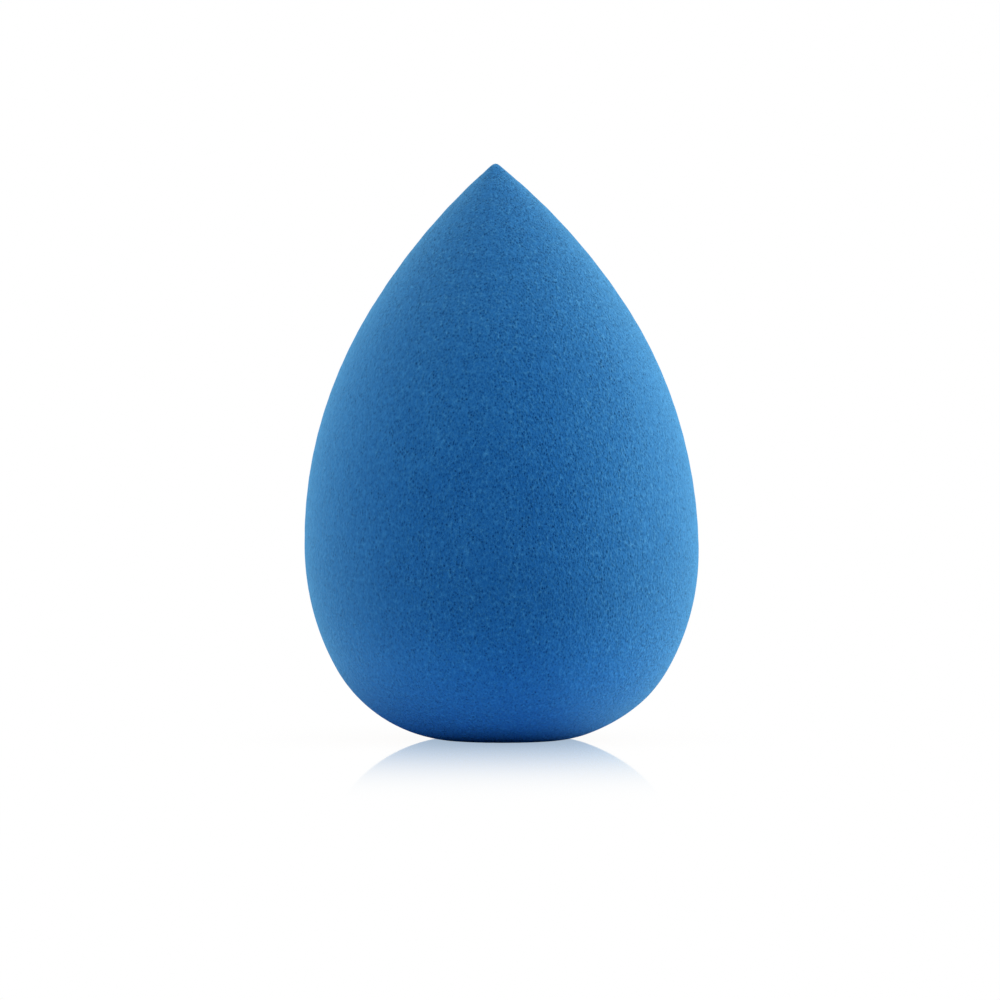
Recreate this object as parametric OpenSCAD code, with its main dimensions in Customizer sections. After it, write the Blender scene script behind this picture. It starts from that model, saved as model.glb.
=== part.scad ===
// Makeup sponge: one pointed teardrop of fine-celled polyurethane foam, which stands on a small flat seat.
// Millimetres, with +Z up and the origin in the middle of the seat.
//
// Half of the outline is a chain of arcs, each tangent to the next, and it is turned once about the Z axis.
// From the seat up they are:
//
//     heel      rolls the foam out and up from the edge of the seat
//     haunch    opens that turn
//     belly     the last and gentlest turn below the widest point
//     shoulder  leans in from the widest point
//     flank     the nearly straight side of the point
//     nose      rounds the very tip
//
// The tilt of the surface is how far above the level it faces, in degrees. It is 0 at the widest point
// and 90 on top of the nose. Below the widest point the surface faces downwards and its tilt is negative.

/* [Body] */
// Height from the seat to the tip
body_height = 60; // [54:0.5:68]
// Diameter at the widest point
body_dia = 41.1; // [37:0.1:46]
// Height of the widest point above the seat
belly_height = 20; // [18:0.5:22]

/* [Point] */
// Full angle of the point, from one side to the other, in degrees
tip_angle = 100; // [94:1:110]
// Radius that the very tip is rounded to
nose_radius = 0.6; // [0.2:0.1:1.5]
// Upward tilt at which the round shoulder gives way to the flatter flank
flank_tilt = 32; // [26:1:38]

/* [Lower body] */
// Radius of the outline just below the widest point
belly_radius = 27; // [24:0.5:32]
// Downward tilt at which the belly gives way to the haunch
haunch_tilt = 10; // [8:1:16]
// Downward tilt at which the haunch gives way to the tight heel
heel_tilt = 29; // [25:1:33]

/* [Seat] */
// Diameter of the flat that the sponge stands on
seat_dia = 13; // [10:0.5:16]
// Angle between the seat and the foam that rises from its edge, in degrees
seat_edge_angle = 8; // [5:1:12]

/* [Hidden] */
$fn = 120;
// The most that the outline turns from one of its points to the next.
chord_turn = 3;

foam_colour = [0.15, 0.42, 0.64];

straight_down = -90;
level = 0;
straight_up = 90;

// What an arc of unit radius covers, outwards and upwards, between two tilts.
function unit_reach(from, to) = [cos(to) - cos(from), sin(to) - sin(from)];

// The radii of two tangent arcs, one between the first two tilts and one between the last two,
// that reach from the start point to the end point.
function two_radii(tilts, start, end) =
    let (
        first = unit_reach(tilts[0], tilts[1]),
        second = unit_reach(tilts[1], tilts[2]),
        whole = end - start
    )
    [cross(whole, second), cross(first, whole)] / cross(first, second);

// The points between which radii are worked out.
seat_middle = [0, 0];
seat_edge = [seat_dia / 2, 0];
widest_point = [body_dia / 2, belly_height];
belly_foot = widest_point - belly_radius * unit_reach(-haunch_tilt, level);
tip = [0, body_height];
nose_foot = tip - nose_radius * unit_reach(tip_angle / 2, straight_up);

lower_tilts = [straight_down + seat_edge_angle, -heel_tilt, -haunch_tilt];
upper_tilts = [level, flank_tilt, tip_angle / 2];
lower_radii = two_radii(lower_tilts, seat_edge, belly_foot);
upper_radii = two_radii(upper_tilts, widest_point, nose_foot);

// Each arc is [point at its foot, radius, tilt at its foot, tilt at its head].
heel = [seat_edge, lower_radii[0], lower_tilts[0], lower_tilts[1]];
haunch = [arc_head(heel), lower_radii[1], lower_tilts[1], lower_tilts[2]];
belly = [belly_foot, belly_radius, -haunch_tilt, level];
shoulder = [widest_point, upper_radii[0], upper_tilts[0], upper_tilts[1]];
flank = [arc_head(shoulder), upper_radii[1], upper_tilts[1], upper_tilts[2]];
nose = [nose_foot, nose_radius, tip_angle / 2, straight_up];

function arc_head(arc) = arc[0] + arc[1] * unit_reach(arc[2], arc[3]);

// Points along an arc, from its foot up to the last one before its head.
function arc_points(arc) =
    let (chords = ceil((arc[3] - arc[2]) / chord_turn))
    [
        for (n = [0 : chords - 1])
            arc[0] + arc[1] * unit_reach(arc[2], arc[2] + n * (arc[3] - arc[2]) / chords)
    ];

half_outline = [
    seat_middle,
    for (arc = [heel, haunch, belly, shoulder, flank, nose]) each arc_points(arc),
    tip
];

module foam_body() {
    color(foam_colour)
        rotate_extrude()
            polygon(half_outline);
}

foam_body();
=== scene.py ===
# %% [markdown]
# # A teardrop makeup sponge
#
# The real object is one piece of soft blue foam, about as tall as a thumb. It has no skin and no seam, so
# everything that the eye gets from it comes from two things: the outline, and the fine open cells that
# cover it. This lesson takes the outline from a plain solid of the sponge, spreads an even mesh over that
# form with Geometry Nodes, presses the larger pores into the mesh, and leaves the finest cells to a
# procedural material. Lengths are metres, with +Z up and the origin in the middle of the seat.

import math

import bpy
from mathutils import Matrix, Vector


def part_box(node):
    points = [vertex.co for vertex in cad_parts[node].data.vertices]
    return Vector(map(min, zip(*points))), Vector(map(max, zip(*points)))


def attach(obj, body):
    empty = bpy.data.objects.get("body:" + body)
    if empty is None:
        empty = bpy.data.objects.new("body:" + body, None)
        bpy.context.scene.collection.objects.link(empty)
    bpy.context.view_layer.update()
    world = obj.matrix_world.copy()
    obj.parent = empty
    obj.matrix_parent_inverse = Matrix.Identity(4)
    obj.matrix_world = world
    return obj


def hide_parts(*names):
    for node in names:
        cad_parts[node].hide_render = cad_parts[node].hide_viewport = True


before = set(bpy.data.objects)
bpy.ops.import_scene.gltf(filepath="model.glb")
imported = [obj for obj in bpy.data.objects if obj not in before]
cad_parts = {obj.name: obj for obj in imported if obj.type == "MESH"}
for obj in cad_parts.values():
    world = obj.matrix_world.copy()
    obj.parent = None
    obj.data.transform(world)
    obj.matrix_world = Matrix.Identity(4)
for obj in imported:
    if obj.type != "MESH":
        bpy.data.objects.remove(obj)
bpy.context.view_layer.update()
foam_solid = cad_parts["foam_body"]
lowest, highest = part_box("foam_body")
body_height = highest.z - lowest.z
body_width = highest.x - lowest.x
MM = 0.001
print(f"The solid is {body_height / MM:.1f} mm tall and {body_width / MM:.1f} mm across")

# %% [markdown]
# ## The camera
#
# The picture to match was taken almost level with the sponge and from well back, which keeps its sides
# parallel and lets only a sliver of the floor show. A long lens from 0.7 m does the same. Its focal length
# follows from how many pixels of the picture a millimetre of sponge takes, and its pitch from the row of
# the picture where the sponge touches the floor.

# %% Aim the camera
PICTURE_PIXELS = 1000
PIXELS_PER_MM = 9.59
FLOOR_ROW = 738.7
CAMERA_DISTANCE = 0.7
CAMERA_SIDE_STEP = -0.25 * MM
DOWN_TO_SEAT = math.radians(3.9)
SENSOR_WIDTH = 36.0

focal_pixels = PIXELS_PER_MM * CAMERA_DISTANCE / MM
below_middle = math.atan((FLOOR_ROW - PICTURE_PIXELS / 2) / focal_pixels)
camera_pitch = DOWN_TO_SEAT - below_middle

camera_data = bpy.data.cameras.new("camera")
camera_data.sensor_width = SENSOR_WIDTH
camera_data.lens = focal_pixels / PICTURE_PIXELS * SENSOR_WIDTH
camera = bpy.data.objects.new("camera", camera_data)
camera.location = (CAMERA_SIDE_STEP, -CAMERA_DISTANCE, CAMERA_DISTANCE * math.tan(DOWN_TO_SEAT))
camera.rotation_euler = (math.pi / 2 - camera_pitch, 0, 0)
bpy.context.scene.collection.objects.link(camera)
bpy.context.scene.camera = camera
print(f"The lens is {camera_data.lens:.0f} mm and looks down by {math.degrees(camera_pitch):.2f} degrees")

# %% [markdown]
# ## A small kit for node trees
#
# Both the mesh and the material are made of nodes, and a page of nodes and links is hard to read. `Wire`
# wraps one output socket and lets Python's own operators add the Math nodes, so a formula in the script
# looks like a formula. `Board` adds any other node in one call: its type, then its settings, such as the
# stops of a colour ramp, then what goes into its sockets.

# %% Wires and boards
class Wire:
    """The output of a node. Arithmetic on it adds Math nodes."""

    def __init__(self, board, socket):
        self.board = board
        self.socket = socket

    def also(self, name):
        """Another output of the same node."""
        return Wire(self.board, self.socket.node.outputs[name])

    def math(self, operation, *values):
        inputs = dict(enumerate((self, *values)))
        return self.board.add("ShaderNodeMath", {"operation": operation}, inputs)

    def __add__(self, other):
        return self.math("ADD", other)

    def __sub__(self, other):
        return self.math("SUBTRACT", other)

    def __rsub__(self, other):
        return self.board.add("ShaderNodeMath", {"operation": "SUBTRACT"}, {0: other, 1: self})

    def __mul__(self, other):
        return self.math("MULTIPLY", other)

    def __truediv__(self, other):
        return self.math("DIVIDE", other)

    def __rtruediv__(self, other):
        return self.board.add("ShaderNodeMath", {"operation": "DIVIDE"}, {0: other, 1: self})

    def __pow__(self, other):
        return self.math("POWER", other)

    def sine(self):
        return self.math("SINE")

    def clamped(self):
        return self.board.add("ShaderNodeClamp", {}, {"Value": self})

    def smooth_step(self, start, end):
        """0 up to start and 1 past end, with an easy curve between."""
        settings = {"interpolation_type": "SMOOTHSTEP"}
        inputs = {"Value": self, "From Min": start, "From Max": end}
        return self.board.add("ShaderNodeMapRange", settings, inputs)


class Board:
    """A node tree, with one method that adds a node."""

    def __init__(self, tree):
        self.tree = tree
        tree.nodes.clear()

    def add(self, kind, settings=None, inputs=None, output=0):
        node = self.tree.nodes.new(kind)
        for name, value in (settings or {}).items():
            if name == "stops":
                self.fill_ramp(node.color_ramp, value)
            else:
                setattr(node, name, value)
        for name, value in (inputs or {}).items():
            self.plug(node.inputs[name], value)
        return Wire(self, node.outputs[output]) if node.outputs else node

    def fill_ramp(self, ramp, stops):
        """Each stop is a position from 0 to 1 and a colour."""
        while len(ramp.elements) < len(stops):
            ramp.elements.new(1.0)
        for element, (position, colour) in zip(ramp.elements, stops):
            element.position = position
            element.color = colour

    def plug(self, socket, value):
        if isinstance(value, Wire):
            self.tree.links.new(value.socket, socket)
        else:
            socket.default_value = value

    def vector(self, operation, *values, output=0):
        inputs = dict(enumerate(values))
        return self.add("ShaderNodeVectorMath", {"operation": operation}, inputs, output)

    def scaled(self, vector, factor):
        return self.add("ShaderNodeVectorMath", {"operation": "SCALE"}, {0: vector, "Scale": factor})

    def xyz(self, x=0.0, y=0.0, z=0.0):
        return self.add("ShaderNodeCombineXYZ", {}, {"X": x, "Y": y, "Z": z})

    def parts(self, vector):
        x = self.add("ShaderNodeSeparateXYZ", {}, {0: vector}, "X")
        return x, x.also("Y"), x.also("Z")


# %% [markdown]
# ## The outline
#
# The sponge is round about its upright axis, so its form is one curve turned about that axis. The solid
# holds that curve as rings of vertices. Each ring gives a radius and a height, and a Bezier curve with
# automatic handles runs smoothly through them. The seat is the exception: it is really flat, so its two
# points get straight handles.

# %% Read the rings of the solid into a smooth curve
SAME_HEIGHT = 0.0001 * MM

ring_radius = {}
for vertex in foam_solid.data.vertices:
    level = round(vertex.co.z / SAME_HEIGHT)
    reach = math.hypot(vertex.co.x, vertex.co.y)
    ring_radius[level] = max(reach, ring_radius.get(level, 0.0))
rings = [(radius, level * SAME_HEIGHT) for level, radius in sorted(ring_radius.items())]
seat_radius = rings[0][0]

outline_data = bpy.data.curves.new("outline", "CURVE")
outline_data.dimensions = "3D"
spline = outline_data.splines.new("BEZIER")
spline.bezier_points.add(len(rings))
for point, (radius, height) in zip(spline.bezier_points, [(0.0, 0.0)] + rings):
    point.co = (radius, 0.0, height)
    flat = height < SAME_HEIGHT
    point.handle_left_type = point.handle_right_type = "VECTOR" if flat else "AUTO"
outline = bpy.data.objects.new("outline", outline_data)
bpy.context.scene.collection.objects.link(outline)
print(f"The outline has {len(rings)} rings, and the seat is {2 * seat_radius / MM:.1f} mm across")

# %% [markdown]
# ## The foam body as a Geometry Nodes tree
#
# A mesh that is simply spun about the axis crowds its faces at the tip. Here a cube of even squares is
# blown up to a ball, and each point of the ball is then sent to the outline: up the ball by some share of
# its area is up the sponge by the same share of its own. The squares stay nearly even all over.
#
# The tree then works the surface a little: each of several thousand scattered points becomes a shallow
# pore, and the foam between the pores stands out a little. Last come the small things that tell a soft
# sponge from turned wood. It leans to one side, most of all in the last of its point, it sways by a hair
# on the way up, and its heel is drawn in on one side.

# %% Sizes of the foam
SQUARES_ALONG_CUBE = 128
PORE_SPACING = 0.75 * MM
PORE_RADIUS = 0.42 * MM
PORE_DEPTH = 0.03 * MM
FOAM_SEED = 7
BODY_LEAN = 0.3 * MM
TIP_LEAN = 0.43 * MM
SWAY = 0.05 * MM
HEEL_TUCK = 0.22 * MM

SKIN_INPUTS = {
    "Outline": ("NodeSocketObject", outline),
    "Foam": ("NodeSocketMaterial", None),
    "Squares": ("NodeSocketInt", SQUARES_ALONG_CUBE),
    "Pore spacing": ("NodeSocketFloat", PORE_SPACING),
    "Pore radius": ("NodeSocketFloat", PORE_RADIUS),
    "Pore depth": ("NodeSocketFloat", PORE_DEPTH),
    "Seed": ("NodeSocketInt", FOAM_SEED),
    "Height": ("NodeSocketFloat", body_height),
    "Body lean": ("NodeSocketFloat", BODY_LEAN),
    "Tip lean": ("NodeSocketFloat", TIP_LEAN),
    "Sway": ("NodeSocketFloat", SWAY),
    "Heel tuck": ("NodeSocketFloat", HEEL_TUCK),
}


# %% Look up a place on the outline by its share of the whole area
OUTLINE_STEPS = 800


def outline_by_area(board, outline_object):
    """A straight curve of length 1, which holds each point of the outline at its share of the area."""
    curve = board.add("GeometryNodeObjectInfo", {}, {"Object": outline_object}, "Geometry")
    even = board.add(
        "GeometryNodeResampleCurve", {"mode": "COUNT"}, {"Curve": curve, "Count": OUTLINE_STEPS}
    )
    points = board.add("GeometryNodeCurveToPoints", {"mode": "EVALUATED"}, {"Curve": even})
    place = board.add("GeometryNodeInputPosition")
    kept = board.add(
        "GeometryNodeStoreNamedAttribute",
        {"data_type": "FLOAT_VECTOR", "domain": "POINT"},
        {"Geometry": points, "Name": "place", "Value": place},
    )
    radius = board.parts(place)[0]
    area_below = board.add("GeometryNodeAccumulateField", {}, {"Value": radius}, "Trailing")
    share = area_below / area_below.also("Total")
    line = board.add("GeometryNodeSetPosition", {}, {"Geometry": kept, "Position": board.xyz(x=share)})
    return board.add("GeometryNodePointsToCurves", {}, {"Points": line})


# %% Spread an even mesh over the outline
CUBE_SIDE = 2.0


def even_body(board, lookup, squares):
    """A closed mesh of even squares on the turned outline, with its cube's map kept for baking.

    The tangent widens the squares near the cube's edges, which the ball would otherwise shrink.
    """
    corners = squares + 1
    side = (CUBE_SIDE, CUBE_SIDE, CUBE_SIDE)
    cube = board.add(
        "GeometryNodeMeshCube",
        {},
        {"Size": side, "Vertices X": corners, "Vertices Y": corners, "Vertices Z": corners},
        "Mesh",
    )
    mapped = board.add(
        "GeometryNodeStoreNamedAttribute",
        {"data_type": "FLOAT2", "domain": "CORNER"},
        {"Geometry": cube, "Name": "OFBake", "Value": cube.also("UV Map")},
    )
    on_cube = board.add("GeometryNodeInputPosition")
    angles = board.scaled(on_cube, math.pi / 4)
    on_ball = board.vector("NORMALIZE", board.vector("TANGENT", angles))
    x, y, z = board.parts(on_ball)
    outward = board.vector("NORMALIZE", board.xyz(x, y))
    place_on_outline = board.add(
        "GeometryNodeInputNamedAttribute", {"data_type": "FLOAT_VECTOR"}, {"Name": "place"}
    )
    found = board.add(
        "GeometryNodeSampleCurve",
        {"mode": "FACTOR", "data_type": "FLOAT_VECTOR"},
        {
            "Curves": lookup,
            "Factor": (z + 1.0) / CUBE_SIDE,
            "Value": place_on_outline,
        },
        "Value",
    )
    radius, _, height = board.parts(found)
    out_x, out_y, _ = board.parts(outward)
    on_body = board.xyz(out_x * radius, out_y * radius, height)
    return board.add("GeometryNodeSetPosition", {}, {"Geometry": mapped, "Position": on_body})


# %% Pores
PORE_SINK = 0.7
POINTS_TRIED = 2.0
SEAT_BLEND = 1.5 * MM


def pushed(board, mesh, distance):
    """Moves the surface along its own normal."""
    offset = board.scaled(board.add("GeometryNodeInputNormal"), distance)
    return board.add("GeometryNodeSetPosition", {}, {"Geometry": mesh, "Offset": offset})


def above_seat(board):
    """0 on the flat seat, rising to 1 a little above it, so that the seat stays flat."""
    return board.parts(board.add("GeometryNodeInputPosition"))[2].smooth_step(0.0, SEAT_BLEND)


def pored(board, mesh, spacing, radius, depth, seed):
    """A soft dent at each of many scattered points, which never lie nearer to each other than the spacing.

    The sink is the share of the depth that is pressed in. The foam between stands out by the rest.
    """
    density = POINTS_TRIED / (spacing * spacing)
    scattered = board.add(
        "GeometryNodeDistributePointsOnFaces",
        {"distribute_method": "POISSON"},
        {"Mesh": mesh, "Distance Min": spacing, "Density Max": density, "Seed": seed},
        "Points",
    )
    nearest = board.add(
        "GeometryNodeProximity", {"target_element": "POINTS"}, {"Geometry": scattered}, "Distance"
    )
    relief = nearest.smooth_step(0.0, radius) - PORE_SINK
    return pushed(board, mesh, relief * depth * above_seat(board))


# %% Lean, sway and heel
TIP_LEAN_POWER = 6.0
SWAY_FROM = -3 * MM
SWAY_TO = 47 * MM
TUCK_SIDE = 12 * MM
TUCK_HEIGHT = 1 * MM
TUCK_END = 5 * MM


def leaned(board, mesh, height, body_lean, tip_lean, sway):
    """Shifts each level to the left, a little all the way up and mostly in the last of the point.

    The sway is a slight S on top: it takes the belly to the right, and the foam above it to the left.
    """
    above = board.parts(board.add("GeometryNodeInputPosition"))[2]
    level = above / height
    swing = (above.smooth_step(SWAY_FROM, SWAY_TO) * math.tau).sine()
    offset = board.xyz(x=swing * sway - level * body_lean - level**TIP_LEAN_POWER * tip_lean)
    return board.add("GeometryNodeSetPosition", {}, {"Geometry": mesh, "Offset": offset})


def tucked(board, mesh, tuck):
    """Draws the heel in a little on the right, just above the seat."""
    across, _, above = board.parts(board.add("GeometryNodeInputPosition"))
    at_heel = above.smooth_step(0.0, TUCK_HEIGHT) * (1.0 - above.smooth_step(TUCK_HEIGHT, TUCK_END))
    offset = board.xyz(x=across.smooth_step(0.0, TUCK_SIDE) * at_heel * tuck * -1.0)
    return board.add("GeometryNodeSetPosition", {}, {"Geometry": mesh, "Offset": offset})


# %% Build the tree
def foam_skin_tree():
    tree = bpy.data.node_groups.new("foam_skin", "GeometryNodeTree")
    board = Board(tree)
    for name, (kind, _) in SKIN_INPUTS.items():
        tree.interface.new_socket(name=name, in_out="INPUT", socket_type=kind)
    tree.interface.new_socket(name="Geometry", in_out="OUTPUT", socket_type="NodeSocketGeometry")
    given = board.add("NodeGroupInput")
    size = {name: given.also(name) for name in SKIN_INPUTS}

    lookup = outline_by_area(board, size["Outline"])
    body = even_body(board, lookup, size["Squares"])
    body = pored(board, body, size["Pore spacing"], size["Pore radius"], size["Pore depth"], size["Seed"])
    body = leaned(board, body, size["Height"], size["Body lean"], size["Tip lean"], size["Sway"])
    body = tucked(board, body, size["Heel tuck"])
    smooth = board.add("GeometryNodeSetShadeSmooth", {}, {"Geometry": body})
    real = board.add("GeometryNodeRealizeInstances", {}, {"Geometry": smooth})
    finished = board.add("GeometryNodeSetMaterial", {}, {"Geometry": real, "Material": size["Foam"]})
    board.add("NodeGroupOutput", {}, {"Geometry": finished})
    return tree


# %% [markdown]
# ## The colour of the foam
#
# The colour follows the light's own way through the foam. Light that comes back from a raised rim has
# passed little dye, and light from a pit has passed more, so a pit is deeper in colour and not just
# darker. The darker pits and paler rims are also painted shade and painted highlight, for the shadow that
# falls into each pit and the light that catches each rim. Each stop of the ramp is the dye's tint raised
# to the power of the depth passed, and a depth of 1 is the usual one.

# %% Dye
DYE_TINT = (0.0123, 0.0998, 0.2874)
LEAST_DEPTH = 0.5
MOST_DEPTH = 1.7
RAMP_STOPS = 7


def tint_after(depth):
    """The colour of white light after a depth of dyed foam."""
    return tuple(share**depth for share in DYE_TINT) + (1.0,)


def dyed(board, depth):
    """The colour of the foam where the light passes a varying depth of it."""
    stops = []
    for step in range(RAMP_STOPS):
        along = step / (RAMP_STOPS - 1)
        stops.append((along, tint_after(LEAST_DEPTH + along * (MOST_DEPTH - LEAST_DEPTH))))
    place = (depth - LEAST_DEPTH) / (MOST_DEPTH - LEAST_DEPTH)
    return board.add("ShaderNodeValToRGB", {"stops": stops}, {"Fac": place}, "Color")


print("The dye's usual colour:", DYE_TINT, "and its palest:", tint_after(LEAST_DEPTH)[:3])

# %% [markdown]
# ## The cells
#
# Close to, the surface is a felt of open cells, each about a quarter of a millimetre across and taller
# than it is wide, because the foam rose in that direction. A cell is a small dark pit with a paler rim
# round it, and no two are equally deep. Voronoi cells give the pits and rims, the random colours of those
# cells give each its own depth, and a finer noise gives the fuzz between them. A mesh fine enough for them
# would take tens of millions of faces, so the material makes them, as colour and as a bump. In the colour,
# the dark pits are partly painted shade and the pale rims partly painted highlight. The sizes of
# cells, fuzz and patches are in millimetres, as the cells' own coordinates are.

# %% Cells
CELL_SIZE = 0.225
CELL_RISE = 1.6
PIT_REACH = 0.42
PIT_DEPTH = 0.95
SHALLOWEST = 0.25
DEEPEST = 1.75
RIM_START = 0.42
RIM_END = 0.85
RIM_HEIGHT = 0.7
LOWEST_RIM = 0.6
HIGHEST_RIM = 1.4
FUZZ_SIZE = 0.125
FUZZ_HEIGHT = 1.4
USUAL_HEIGHT = -0.1
PATCH_SIZE = 0.8
PATCH_SWING = 1.5
NOISE_DETAIL = 1.0
NOISE_MIDDLE = 0.5


def between(share, low, high):
    """Low where the share is 0 and high where it is 1."""
    return share * (high - low) + low


def noise(board, place, size):
    """A smooth noise about 0, whose lumps are about this size."""
    inputs = {"Vector": place, "Scale": 1.0 / size, "Detail": NOISE_DETAIL}
    return board.add("ShaderNodeTexNoise", {}, inputs) - NOISE_MIDDLE


def cell_relief(board, in_cells):
    """The height of the foam's cells: under 0 in a pit and over 0 on a rim."""
    cell_inputs = {"Vector": in_cells, "Scale": 1.0 / CELL_SIZE}
    cells = board.add("ShaderNodeTexVoronoi", {}, cell_inputs, "Distance")
    own, other, _ = board.parts(cells.also("Color"))
    pit = (1.0 - cells.smooth_step(0.0, PIT_REACH)) * between(own, SHALLOWEST, DEEPEST)
    rim = cells.smooth_step(RIM_START, RIM_END) * between(other, LOWEST_RIM, HIGHEST_RIM)
    fuzz = noise(board, in_cells, FUZZ_SIZE)
    height = rim * RIM_HEIGHT - pit * PIT_DEPTH + fuzz * FUZZ_HEIGHT - USUAL_HEIGHT
    return height * (noise(board, in_cells, PATCH_SIZE) * PATCH_SWING + 1.0)


# %% Where the cells are bold
LEFT_BOLDNESS = 0.72
LEFT_END = -17 * MM
LEFT_START = -3 * MM
FOOT_BOLDNESS = 0.75
FOOT_BOLD_FROM = 12 * MM
TIP_BOLDNESS = 1.15
TIP_BOLD_FROM = 38 * MM
TIP_BOLD_TO = 48 * MM


def cell_boldness(across, height):
    """The cells are fainter on the left and on the underside, and stronger near the tip, in bump and colour.
    This follows how much the light brings the grain out there, so in the colour it is painted light and
    shade.
    """
    on_left = between(across.smooth_step(LEFT_END, LEFT_START), LEFT_BOLDNESS, 1.0)
    low_down = between(height.smooth_step(0.0, FOOT_BOLD_FROM), FOOT_BOLDNESS, 1.0)
    high_up = between(height.smooth_step(TIP_BOLD_FROM, TIP_BOLD_TO), 1.0, TIP_BOLDNESS)
    return on_left * low_down * high_up


# %% [markdown]
# ## The whole material
#
# The colour deepens a little from the tip down to the seat, as painted shade for the lower part that gets
# less light, and the dye's depth wanders a little from place to place. The colour is a shade paler on the
# right: painted light, in place of the light that a real sponge lets through from its brighter side. Just
# above the floor the foam soaks up light that the glossy floor throws at it, and glows with a fuller
# colour there. A brighter and deeper colour painted there, a painted glow, stands in for that.
#
# The bump follows the cells, and also a swell half as large again, which shades the foam and leaves its
# dye alone.
#
# Seen edge on, the pale ends of the fibres hide the pits between them. So a second, paler foam is mixed in
# by how much the surface turns away, as a sheen is: the nap, a painted sheen. Its strength is painted light
# too: it fades out low down, where little light falls, and reaches further down on the right, where the
# stronger light falls.

# %% Dye, with painted light and shade, over the body
TOP_DEPTH = 1.055
# Painted shade: the colour deepens toward the seat.
SEAT_SHADED_DEPTH = 1.155
FADE_HEIGHT = 45 * MM
# Painted light: the right side is paler, where the stronger light falls.
RIGHT_LIGHT_PALING = 0.19
RIGHT_LIGHT_START = 2 * MM
RIGHT_LIGHT_END = 18 * MM
NARROW_FROM = 35 * MM
NARROW_TO = 52 * MM
NARROW_SHIFT = 4 * MM
# Painted glow: brighter and deeper colour just above the floor, for the light the floor throws on it.
FOOT_GLOW_DEPTH = 0.17
FOOT_GLOW = 0.72
FOOT_HEIGHT = 17 * MM
WANDER_SIZE = 5.0
WANDER_DYE = 0.08
CELL_SHADE_AND_GRAIN = 0.195


def right_light_share(across, height):
    """Where the stronger light from the right falls, for painted light: 0 on the left, rising to 1 at the
    right edge, and from further left on the narrow part near the tip.
    """
    shift = height.smooth_step(NARROW_FROM, NARROW_TO) * NARROW_SHIFT
    return (across + shift).smooth_step(RIGHT_LIGHT_START, RIGHT_LIGHT_END)


def foam_colour_with_painted_light(board, across, height, in_cells, relief):
    """The dyed colour with painted light and shade: painted shade deepens it low down, painted light pales it
    on the right, a painted glow brightens the foot, and the pits deepen it, partly as painted shade.
    """
    foot = 1.0 - height.smooth_step(0.0, FOOT_HEIGHT)
    shade_below = (1.0 - height / FADE_HEIGHT).clamped()
    # Painted shade: the colour deepens toward the seat, and further at the foot with its painted glow.
    depth = between(shade_below, TOP_DEPTH, SEAT_SHADED_DEPTH) + foot * FOOT_GLOW_DEPTH
    # Painted light: paler on the right, where the stronger light falls.
    depth = depth - right_light_share(across, height) * RIGHT_LIGHT_PALING
    # The cells' colour: partly the foam's grain, partly painted shade in the pits and painted highlight on
    # the rims.
    depth = depth + noise(board, in_cells, WANDER_SIZE) * WANDER_DYE - relief * CELL_SHADE_AND_GRAIN
    # Painted glow: the colour is brighter just above the floor, for the light the floor throws on it.
    return board.scaled(dyed(board, depth), foot * FOOT_GLOW + 1.0)


# %% Foam and nap, a painted sheen
FOAM_ROUGHNESS = 0.95
CELL_BUMP = 0.09 * MM
SWELL_SIZE = 0.33
SWELL_HEIGHT = 3.0
# The nap's pale colour, a painted sheen.
NAP_SHEEN_TINT = (0.072, 0.28, 0.535)
NAP_GRAIN = 0.16
NAP_POWER = 1.5
# Where the nap's painted sheen fades out low down, where little light falls, and how much further down it
# reaches on the right.
NAP_UNLIT_BELOW = -1.5 * MM
NAP_LIT_ABOVE = 10 * MM
NAP_RIGHT_LIGHT_LIFT = 9 * MM
EDGE_BLEND = 0.5
FIBRE_SHEEN = 0.15
FIBRE_ROUGHNESS = 0.4
FIBRE_TINT = (0.6, 0.95, 1.0, 1.0)


def matte(board, colour, bump, more=None):
    """Foam that only scatters light, with more of the shader's inputs where they are given."""
    inputs = {"Base Color": colour, "Roughness": FOAM_ROUGHNESS, "Specular IOR Level": 0.0, "Normal": bump}
    inputs.update(more or {})
    return board.add("ShaderNodeBsdfPrincipled", {}, inputs)


def nap_sheen_share(board, across, height):
    """How much of the nap's painted sheen shows: most where the surface turns away, fading out low down where
    little light falls and reaching further down on the right, where the stronger light falls.
    """
    edge_on = board.add("ShaderNodeLayerWeight", {}, {"Blend": EDGE_BLEND}, "Facing")
    # Painted light: the sheen reaches further down on the right, where the stronger light falls.
    sheen_height = height + right_light_share(across, height) * NAP_RIGHT_LIGHT_LIFT
    return edge_on**NAP_POWER * sheen_height.smooth_step(NAP_UNLIT_BELOW, NAP_LIT_ABOVE)


def foam_material():
    material = bpy.data.materials.new("blue_foam")
    material.use_nodes = True
    board = Board(material.node_tree)
    place = board.add("ShaderNodeTexCoord", output="Object")
    across, _, height = board.parts(place)
    in_cells = board.vector("DIVIDE", place, (MM, MM, MM * CELL_RISE))
    relief = cell_relief(board, in_cells) * cell_boldness(across, height)
    swell = noise(board, in_cells, SWELL_SIZE) * SWELL_HEIGHT
    bump_inputs = {"Strength": 1.0, "Distance": CELL_BUMP, "Height": relief + swell}
    bump = board.add("ShaderNodeBump", {}, bump_inputs)
    foam = matte(board, foam_colour_with_painted_light(board, across, height, in_cells, relief), bump)
    fibres = {"Sheen Weight": FIBRE_SHEEN, "Sheen Roughness": FIBRE_ROUGHNESS, "Sheen Tint": FIBRE_TINT}
    # The nap is a paler foam with a real sheen, mixed in edge on as a painted sheen.
    nap = matte(board, board.scaled(NAP_SHEEN_TINT, relief * NAP_GRAIN + 1.0), bump, fibres)
    both = board.add("ShaderNodeMixShader", {}, {0: nap_sheen_share(board, across, height), 1: foam, 2: nap})
    board.add("ShaderNodeOutputMaterial", {}, {"Surface": both})
    return material


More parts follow.
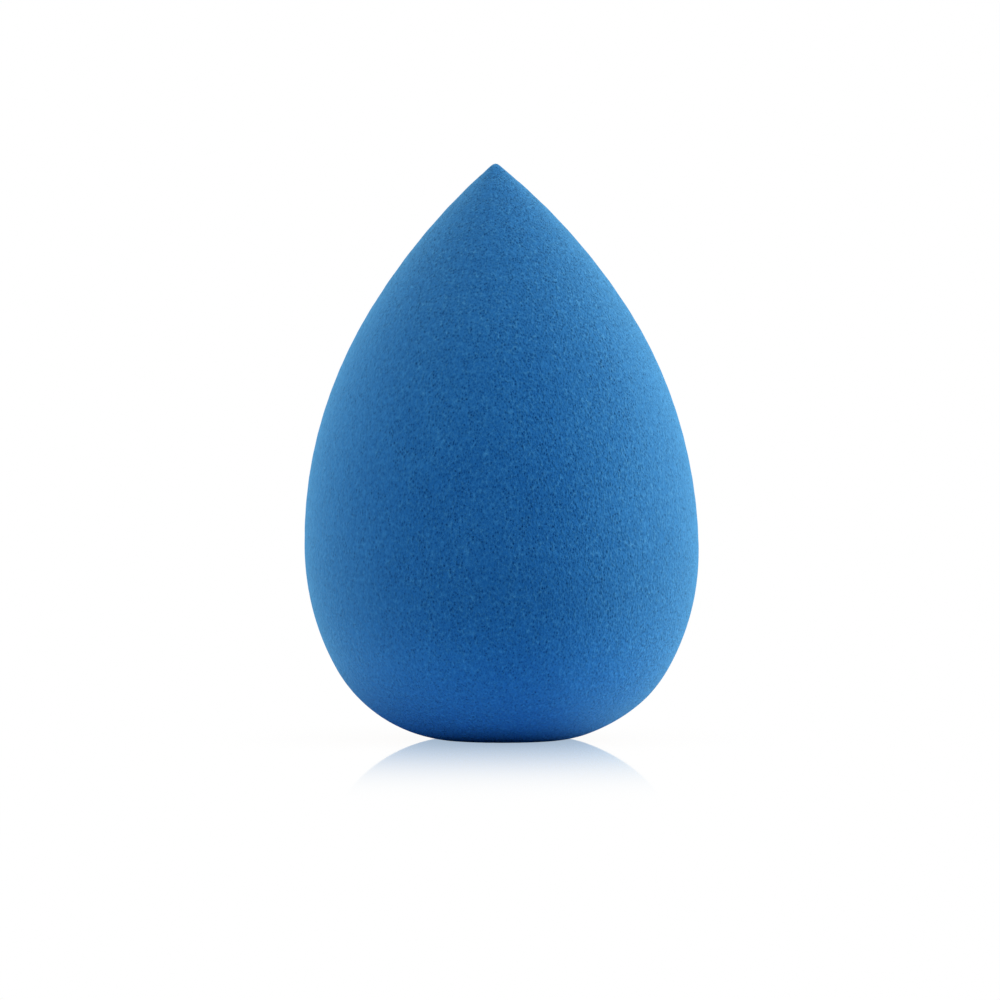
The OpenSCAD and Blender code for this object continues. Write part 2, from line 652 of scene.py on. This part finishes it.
# %% Make the mesh
blue_foam = foam_material()
skin = foam_skin_tree()
grown = bpy.data.objects.new("foam_grown", bpy.data.meshes.new("foam_grown"))
bpy.context.scene.collection.objects.link(grown)
growth = grown.modifiers.new("foam_skin", "NODES")
growth.node_group = skin
socket_of = {item.name: item.identifier for item in skin.interface.items_tree if item.in_out == "INPUT"}
for name, (_, value) in SKIN_INPUTS.items():
    growth[socket_of[name]] = blue_foam if name == "Foam" else value
evaluated = grown.evaluated_get(bpy.context.evaluated_depsgraph_get())
foam_mesh = bpy.data.meshes.new_from_object(evaluated)
# The empty slot of the mesh that the tree started from comes before the foam's own.
foam_mesh.materials.pop(index=0)
foam = bpy.data.objects.new("foam_sponge", foam_mesh)
bpy.context.scene.collection.objects.link(foam)
for helper in (grown, outline):
    bpy.data.objects.remove(helper)
foam_mesh.calc_loop_triangles()
print(f"The foam has {len(foam_mesh.vertices)} vertices and {len(foam_mesh.loop_triangles)} triangles")
print("Its box in mm:", [round(side / MM, 2) for side in foam.dimensions])

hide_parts("foam_body")
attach(foam, "root")

# %% [markdown]
# ## The floor
#
# The sponge stands on a glossy white sheet, lit so brightly in the picture that its shadow has all but
# burnt out. What the camera sees of the sheet is therefore plain white, with a small share of the lit
# paper and the shadow on it close to the sponge. For the light that falls on the sponge, the sheet is lit
# paper and nothing else.
#
# Seen almost edge on, such a sheet mirrors the foot of the sponge, and the mirror image pales within a few
# centimetres. The gloss gives back less green and much less blue than red. The sheet's own white makes up
# for what is lacking, so that the open sheet stays white and the mirror image of the foam is a pale blue.

# %% Floor and backdrop
FLOOR_SIZE = 4.0
WHITE = (1.0, 1.0, 1.0, 1.0)
OPEN_PAPER = (0.9, 0.9, 0.9, 1.0)
NEAR_PAPER = (0.85, 0.93, 1.0, 1.0)
NEAR_REACH = 45 * MM
SHADOW_SHARE = 0.1
SHADOW_REACH = 35 * MM
MIRROR_SHARE = 0.6
MIRROR_REACH = 97 * MM
MIRROR_FALL = 2.0
MIRROR_ROUGHNESS = 0.03
MIRROR_TINT = (1.0, 0.81, 0.58)
MIX_COLOURS = (6, 7)
MIX_RESULT = 2


def seen_directly(board):
    """1 for what the camera sees, also in a mirror or through glass, and 0 for light on other things."""
    path = board.add("ShaderNodeLightPath", output="Is Camera Ray")
    return (path + path.also("Is Glossy Ray") + path.also("Is Transmission Ray")).clamped()


def nearness(from_sponge, reach):
    """1 under the sponge, and 0 from the reach outwards."""
    return 1.0 - from_sponge.smooth_step(0.0, reach)


def paper_colour(board, from_sponge):
    """White paper, a little bluer where it takes in light from the blue foam over it.

    A Mix node has sockets of the same name for numbers and colours, so the colours go by their place.
    """
    open_socket, near_socket = MIX_COLOURS
    near = nearness(from_sponge, NEAR_REACH)
    inputs = {"Factor": near, open_socket: OPEN_PAPER, near_socket: NEAR_PAPER}
    return board.add("ShaderNodeMix", {"data_type": "RGBA"}, inputs, MIX_RESULT)


def glossy_floor_material():
    material = bpy.data.materials.new("glossy_white_floor")
    material.use_nodes = True
    board = Board(material.node_tree)
    place = board.add("ShaderNodeTexCoord", output="Object")
    from_sponge = board.vector("LENGTH", place, output="Value")
    seen = seen_directly(board)
    gloss = nearness(from_sponge, MIRROR_REACH) ** MIRROR_FALL * MIRROR_SHARE
    lacking = tuple(1.0 - share for share in MIRROR_TINT)
    made_up = board.vector("ADD", board.scaled(lacking, gloss / (1.0 - gloss)), WHITE[:3])
    white = board.add("ShaderNodeEmission", {}, {"Color": made_up, "Strength": 1.0})
    lit = board.add("ShaderNodeBsdfDiffuse", {}, {"Color": paper_colour(board, from_sponge)})
    shadow_share = nearness(from_sponge, SHADOW_REACH) * SHADOW_SHARE
    sheet = board.add("ShaderNodeMixShader", {}, {0: seen * (1.0 - shadow_share), 1: lit, 2: white})
    mirror_inputs = {"Color": MIRROR_TINT + (1.0,), "Roughness": MIRROR_ROUGHNESS}
    mirror = board.add("ShaderNodeBsdfGlossy", {}, mirror_inputs)
    glossy = board.add("ShaderNodeMixShader", {}, {0: seen * gloss, 1: sheet, 2: mirror})
    board.add("ShaderNodeOutputMaterial", {}, {"Surface": glossy})
    return material


half = FLOOR_SIZE / 2
floor_corners = [(-half, -half, 0), (half, -half, 0), (half, half, 0), (-half, half, 0)]
floor_mesh = bpy.data.meshes.new("floor")
floor_mesh.from_pydata(floor_corners, [], [(0, 1, 2, 3)])
floor_mesh.materials.append(glossy_floor_material())
floor = bpy.data.objects.new("floor", floor_mesh)
bpy.context.scene.collection.objects.link(floor)

# %% [markdown]
# ## Light
#
# The middle of the sponge is its darkest part and both edges are brighter, the right one most. So the
# light is an even white room and three soft boxes beside the sponge: one high on each side, the right one
# stronger, and a weaker one low on the right that reaches the underside.

# %% World and lamps
ROOM_LIGHT = 0.78
BOX_DISTANCE = 0.8
BOX_SIZE = 0.5
SOFT_BOXES = {
    "soft_box_right": {"azimuth": 84, "elevation": 35, "watts": 4.55},
    "soft_box_left": {"azimuth": -78, "elevation": 35, "watts": 2.9},
    "soft_box_low": {"azimuth": 80, "elevation": 5, "watts": 1.7},
}


def studio_world():
    world = bpy.data.worlds.new("studio")
    world.use_nodes = True
    board = Board(world.node_tree)
    strength = between(seen_directly(board), ROOM_LIGHT, 1.0)
    light = board.add("ShaderNodeBackground", {}, {"Color": WHITE, "Strength": strength})
    board.add("ShaderNodeOutputWorld", {}, {"Surface": light})
    return world


def soft_box(name, azimuth, elevation, watts):
    """A square lamp that faces the middle of the sponge. Azimuth 0 is the camera's side, 90 the right."""
    data = bpy.data.lights.new(name, "AREA")
    data.shape = "SQUARE"
    data.size = BOX_SIZE
    data.energy = watts
    lamp = bpy.data.objects.new(name, data)
    around = math.radians(azimuth)
    up = math.radians(elevation)
    away = Vector((math.sin(around) * math.cos(up), -math.cos(around) * math.cos(up), math.sin(up)))
    lamp.location = away * BOX_DISTANCE + Vector((0, 0, body_height / 2))
    lamp.rotation_euler = away.to_track_quat("Z", "Y").to_euler()
    bpy.context.scene.collection.objects.link(lamp)


bpy.context.scene.world = studio_world()
bpy.context.scene.view_settings.view_transform = "Standard"
for box_name, box in SOFT_BOXES.items():
    soft_box(box_name, **box)
